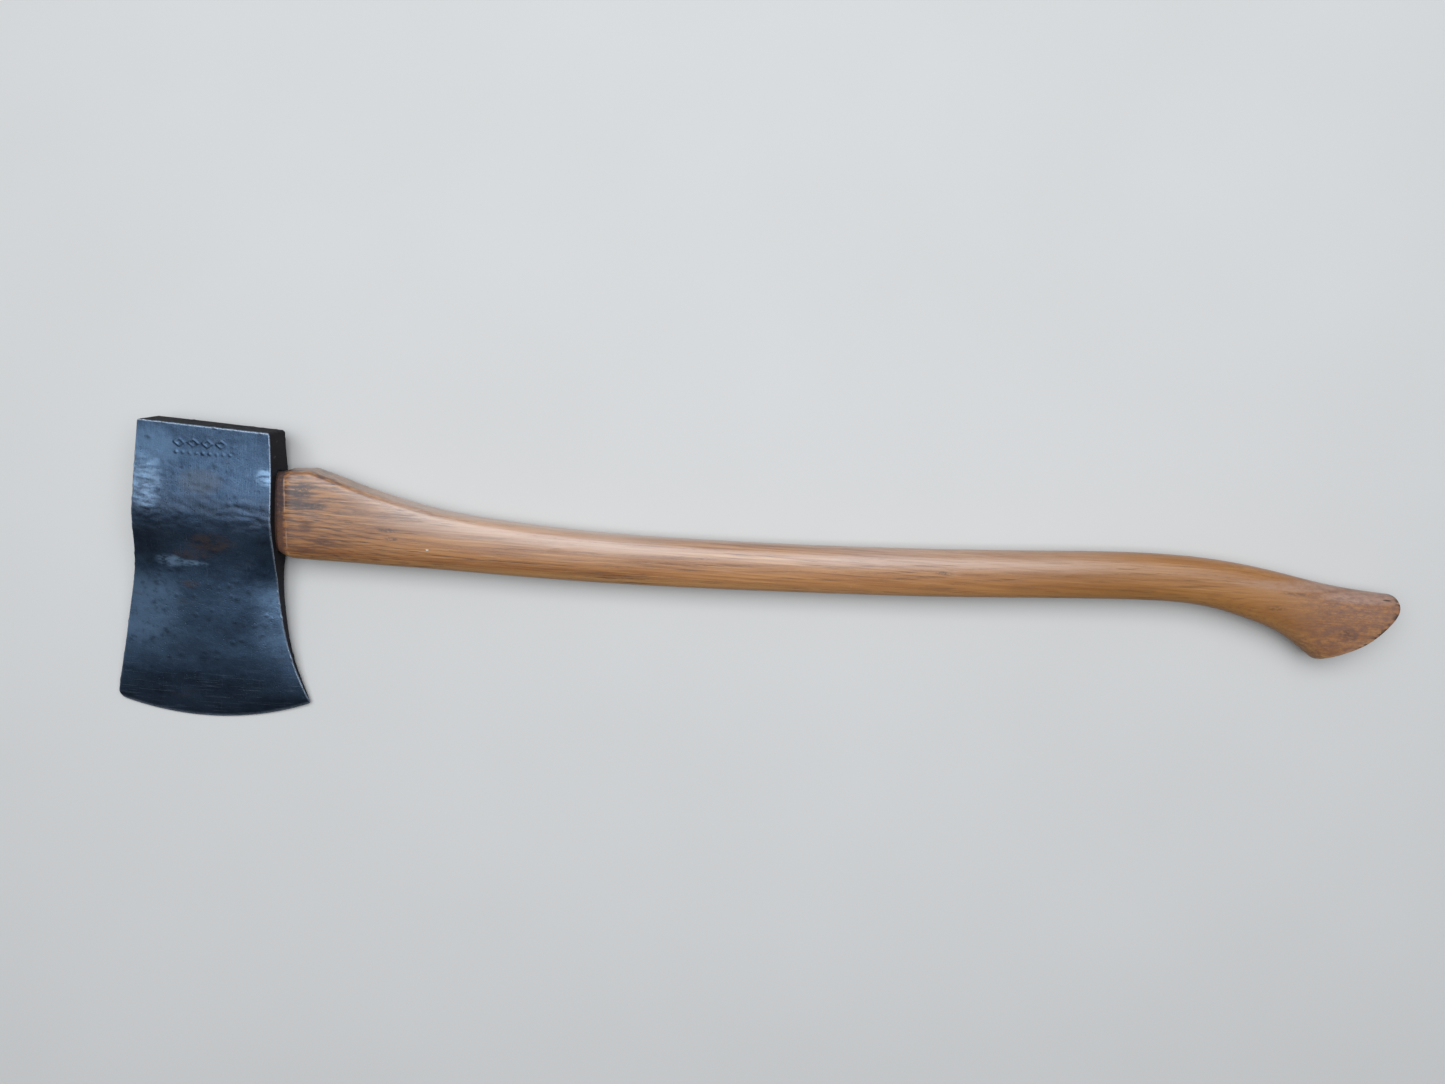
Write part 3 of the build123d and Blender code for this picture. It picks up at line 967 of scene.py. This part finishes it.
def wood_pores(p, knob, low_side, early, tone, streak):
    """Long dark pores, most on the lower side by the head, short dashes, and specks on the knob."""
    near_head = p.ease(p.x, 420, 110)
    patches = p.plus(p.noise((60, 4, 4), 26, 3, 0.6), p.times(low_side, 0.06), p.times(near_head, 0.05))
    lines = p.cells((30, 0.62, 0.62), 25)
    dashes = p.cells((5.5, 0.42, 0.42), 30)
    specks = p.cells((1.7, 0.45, 0.45), 31)
    in_rings = p.ease(early, 0.1, 0.5, 0.4, 1)
    where = p.times(in_rings, p.ease(patches, 0.46, 0.62), p.ease(knob, 0, 1, 1, 0.3))
    pore = p.times(p.ease(lines, 0.46, 0.28), where)
    in_dark = p.times(p.ease(early, 0.1, 0.6, 0.4, 0.9), p.ease(tone, 0.70, 0.42))
    short = p.times(p.ease(dashes, 0.34, 0.20), in_dark)
    on_knob = p.times(p.ease(specks, 0.34, 0.22), knob, p.ease(streak, 0.66, 0.40), 0.8)
    return p.most(pore, p.times(p.most(short, on_knob), 0.7))


def wood_by_head(p, grime):
    """Grime near the head, a nicked dark rim, and a painted highlight along a line beside it."""
    p.tint(p.times(grime, 0.95), GRIME)
    nicks = p.noise((0.7, 5, 5), 41, 3, 0.7)
    rim = p.times(p.ease(p.x, 103.0, 100.5), p.ease(nicks, 0.25, 0.6, 0.6, 0.95))
    p.tint(rim, NICKED)
    # A painted highlight along a slanting line just past the rim.
    slant = p.plus(p.x, p.times(p.y, 0.045))
    glint_mask = p.times(p.between(slant, 102.6, 103.6, 0.5), p.ease(p.noise((2, 7, 7), 33, 3), 0.36, 0.56))
    p.tint(p.times(glint_mask, 0.6), WOOD_HIGHLIGHT)


def wood_smudges(p):
    """Dark smudges at their own places, and a scattering of dark speckle."""
    smudge = p.most(*[p.spot(middle, size) for middle, size in SMUDGES])
    smudge = p.times(smudge, p.ease(p.noise((3.4, 1.5, 1.5), 29, 4, 0.75), 0.40, 0.56), 0.85)
    speckle = p.times(p.ease(p.noise((9, 1.6, 2), 34, 3, 0.6), 0.70, 0.78), 0.5)
    return p.most(smudge, speckle)


def wood_tints(p, level, low_side, streak):
    """How the wood's colour changes along the haft, and up it, with painted sheen on the knob and the
    upper flank.
    """
    # The knob is mottled and browner, with a painted sheen in a band along its upper side.
    mottle = p.noise((6, 2.6, 2.6), 42, 4, 0.7)
    browner = p.times(p.ease(p.x, 770, 835), p.ease(mottle, 0.30, 0.66, 0.10, 0.95))
    p.tint(browner, KNOB_BROWN)
    band = p.most(p.spot((850, -1), (38, 5)), p.spot((800, 4), (50, 4.5)))
    p.tint(p.times(band, p.ease(mottle, 0.7, 0.35, 0.25, 0.6)), KNOB_SHEEN)
    # A painted sheen greys the upper flank along the grip, and the flank is paler between about 215 and
    # 330 mm along the haft.
    upper = p.times(p.ease(level, 1, 10), p.ease(p.x, 130, 200), p.ease(p.x, 720, 640),
                    p.ease(p.between(p.x, 360, 480, 60), 0, 1, 1, 0.5))
    p.tint(p.times(upper, p.ease(streak, 0.3, 0.6, 0.34, 0.60)), FLANK_SHEEN)
    pale_stretch = p.times(p.between(p.x, 215, 330, 30), p.ease(low_side, 0.8, 0.2), 0.25)
    p.tint(pale_stretch, GRIP_PALE)
    # The lower side is redder by the head and more orange beyond, and the far end is golden.
    p.tint(p.times(low_side, p.ease(p.x, 150, 300, 0.32, 0.10)), LOW_RED)
    orange = p.times(low_side, p.ease(p.x, 330, 400, 0, 0.3), p.ease(p.x, 680, 620))
    p.tint(orange, LOW_ORANGE)
    golden = p.times(p.ease(p.x, 500, 690, 0, 0.55), p.ease(p.x, 840, 770))
    p.tint(golden, FAR_GOLD)


def wood_worn_end(p):
    """The arris of the knob's end: worn dark by the toe, worn pale below, with one nick."""
    arris = p.attribute("end_arris")
    spots = p.ease(p.noise((4.0, 2.4, 2.4), 37, 3), 0.50, 0.56)
    dark = p.times(arris, spots, p.ease(p.x, 838, 858), 0.9)
    pale = p.times(arris, p.ease(p.x, 868, 850), p.ease(p.x, 818, 828), 0.45)
    nick = p.times(p.spot((868.0, -1.6), (4.0, 0.7)), 0.85)
    p.tint(pale, WORN_PALE)
    p.tint(p.most(dark, nick), WORN_DARK)


def hickory():
    """Oiled old hickory: fine fibre, long dark pores, grime near the head and a worn knob."""
    p = Paint("hickory")
    end_face, level, back = p.attribute("end_face"), p.attribute("level"), p.attribute("back")
    knob = p.ease(p.x, 735, 830)
    low_side = p.ease(level, 8, -12)
    early = year_rings(p, level)
    tone = p.noise((120, 9, 9), 23, 3)
    streak = p.noise((75, 1.5, 1.5), 40, 3, 0.6)
    fibre = p.noise((22, 0.5, 0.5), 24, 4, 0.7)
    wood_grain(p, knob, back, early, tone, streak, fibre)
    pore = wood_pores(p, knob, low_side, early, tone, streak)
    p.tint(p.times(pore, 0.85), PORE)
    dots = p.cells((0.55, 0.55, 0.55), 27)
    p.tint(p.times(end_face, p.ease(dots, 0.42, 0.25), 0.6), END_GRAIN)
    blots = p.ease(p.noise((24, 2.6, 2.6), 28, 4, 0.65), 0.42, 0.60, 0.10, 1)
    grime = p.times(p.ease(p.x, 190, 104), blots, p.ease(back, 0, 1, 1, 0.6))
    wood_by_head(p, grime)
    p.tint(wood_smudges(p), SMUDGE)
    wood_tints(p, level, low_side, streak)
    wood_worn_end(p)
    # A few specks of paint have stuck on.
    fleck = p.ease(p.cells((34, 13, 13), 38), 0.034, 0.026)
    p.tint(fleck, FLECK)
    roughness = p.plus(p.ease(fibre, 0.3, 0.7, 0.36, 0.46), p.times(pore, 0.2), p.times(grime, 0.06))
    height = p.plus(
        p.times(pore, -0.08), p.times(fibre, 0.035), p.times(streak, 0.015), p.times(fleck, 0.1),
    )
    # Hands have polished the flanks, most of all between the shoulder and the middle.
    handled = p.times(p.ease(back, 0, 1, 1, 0.1), p.ease(low_side, 0, 1, 1, 0.45),
                      p.ease(p.x, 102.5, 108), p.ease(p.x, 430, 560, 1, 0.42),
                      p.ease(p.x, 600, 700, 1, 0.5))
    specular = p.times(p.ease(back, 0, 1, 0.5, 0.1), p.ease(p.x, 100, 105, 0.3, 1))
    return p.finish(roughness, p.relief(height), Specular_IOR_Level=specular,
                    Coat_Weight=handled, Coat_Roughness=0.33)


# The wedges' colours.
WEDGE_PALE, WEDGE_DARK, WEDGE_DIRT = (0.34, 0.20, 0.095), (0.20, 0.105, 0.045), (0.07, 0.045, 0.03)
IRON_RUST, IRON_GREY, IRON_BRIGHT = (0.10, 0.055, 0.034), (0.17, 0.15, 0.14), (0.34, 0.35, 0.36)


def wedge_wood():
    """The end of a paler softwood wedge, hammered and dirty."""
    p = Paint("wedge_wood")
    lines = p.noise((30, 0.5, 2.4), 31, 2)
    blot = p.noise((5, 5, 5), 32, 3)
    p.colour = p.blend(p.ease(lines, 0.35, 0.65), WEDGE_PALE, WEDGE_DARK)
    p.tint(p.ease(blot, 0.5, 0.7, 0, 0.6), WEDGE_DIRT)
    height = p.plus(p.times(lines, 0.10), p.times(blot, 0.15))
    return p.finish(p.ease(blot, 0.3, 0.7, 0.6, 0.78), p.relief(height))


def wedge_steel():
    """Mild steel, rusted brown with the hammered end worn bright."""
    p = Paint("wedge_steel")
    blot = p.noise((2.4, 2.4, 2.4), 35, 4, 0.6)
    fine = p.noise((0.5, 0.5, 0.5), 36, 2)
    struck = p.ease(p.x, -0.1, -0.5)
    p.colour = p.blend(p.ease(blot, 0.35, 0.65), IRON_RUST, IRON_GREY)
    p.tint(p.times(struck, p.ease(blot, 0.42, 0.6), 0.6), IRON_BRIGHT)
    height = p.plus(p.times(blot, 0.12), p.times(fine, 0.03))
    return p.finish(p.ease(blot, 0.3, 0.7, 0.62, 0.36), p.relief(height), Metallic=0.85)


# --- Floor, light and camera ---

SENSOR, LENS = 36.0, 27.0311  # millimetres
TILT, ROLL = radians(10.8), radians(4.3)
LOOKED_AT = Vector((405.0, 3.0, 0.0))
CAMERA_DISTANCE = 760.0
FLOOR_SIZE = 12.0  # metres, as are the light's place and size
FLOOR_DARK, FLOOR_LIGHT = (0.53, 0.505, 0.475), (0.57, 0.545, 0.515)
LIGHT_PLACE, LIGHT_TARGET = Vector((-0.05, 0.48, 1.55)), Vector((0.0, 0.10, 0.0))
LIGHT_SIZE, LIGHT_POWER, LIGHT_COLOUR = (2.5, 1.6), 46, (0.86, 0.93, 1.0)
SKY_LOW, SKY_HIGH, SKY_STRENGTH = (0.10, 0.10, 0.11, 1), (0.62, 0.66, 0.74, 1), 0.55
SKY_SIDE = (-0.15, 0.75, 0.65)  # the way to the sky's bright side


def make_floor():
    bpy.ops.mesh.primitive_plane_add(size=FLOOR_SIZE)
    floor = bpy.context.object
    floor.name = "floor"
    p = Paint("pale_floor")
    mottle = p.noise((180, 180, 180), 41, 3)
    p.colour = p.blend(mottle, FLOOR_DARK, FLOOR_LIGHT)
    floor.data.materials.append(p.finish(0.85, p.relief(p.times(mottle, 0.2), 0.2)))


def make_light():
    light = bpy.data.lights.new("overhead", "AREA")
    light.shape = "RECTANGLE"
    light.size, light.size_y = LIGHT_SIZE
    light.energy = LIGHT_POWER
    light.color = LIGHT_COLOUR
    lamp = new_object("overhead", light)
    lamp.location = LIGHT_PLACE
    lamp.rotation_euler = (LIGHT_TARGET - LIGHT_PLACE).to_track_quat("-Z", "Y").to_euler()


def make_world():
    """Soft sky: bright overhead and behind the poll, dim on the bit's side."""
    world = bpy.data.worlds.new("studio")
    bpy.context.scene.world = world
    world.use_nodes = True
    tree = world.node_tree
    tree.nodes.clear()
    kinds = ("OutputWorld", "Background", "TexCoord", "VectorMath", "ValToRGB")
    output, background, where, lift, ramp = [tree.nodes.new("ShaderNode" + kind) for kind in kinds]
    tree.links.new(background.outputs[0], output.inputs["Surface"])
    lift.operation = "DOT_PRODUCT"
    lift.inputs[1].default_value = SKY_SIDE
    tree.links.new(where.outputs["Generated"], lift.inputs[0])
    low, high = ramp.color_ramp.elements
    low.position, low.color = 0.0, SKY_LOW
    high.position, high.color = 0.9, SKY_HIGH
    tree.links.new(lift.outputs["Value"], ramp.inputs[0])
    tree.links.new(ramp.outputs[0], background.inputs["Color"])
    background.inputs["Strength"].default_value = SKY_STRENGTH


def make_camera():
    camera = bpy.data.cameras.new("camera")
    camera.sensor_width = SENSOR
    camera.lens = LENS
    camera.clip_start = 0.01
    rig = new_object("camera", camera)
    facing = Matrix.Rotation(-TILT, 3, "X") @ Matrix.Rotation(ROLL, 3, "Z")
    place = LOOKED_AT + facing.col[2] * CAMERA_DISTANCE
    rig.matrix_world = Matrix.Translation(offset + turn @ (place / 1000)) @ (turn @ facing).to_4x4()
    bpy.context.scene.camera = rig


def dress(piece, material, node):
    """Gives a piece its material, and sets it in place of its CAD node."""
    piece.data.materials.clear()
    piece.data.materials.append(material)
    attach(piece, "root")
    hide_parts(node)


make_camera()
make_floor()
make_world()
make_light()

dress(make_head(), forged_steel(), "axe_head")
dress(make_haft(), hickory(), "haft")
dress(make_wooden_wedge(), wedge_wood(), "wooden_wedge")
steel = wedge_steel()
front, rear = steel_places()
dress(make_steel_wedge("iron_wedge_front", front, 51), steel, "steel_wedge_front")
dress(make_steel_wedge("iron_wedge_rear", rear, 52), steel, "steel_wedge_rear")

bpy.context.scene.view_settings.view_transform = "Standard"

bpy.context.view_layer.update()
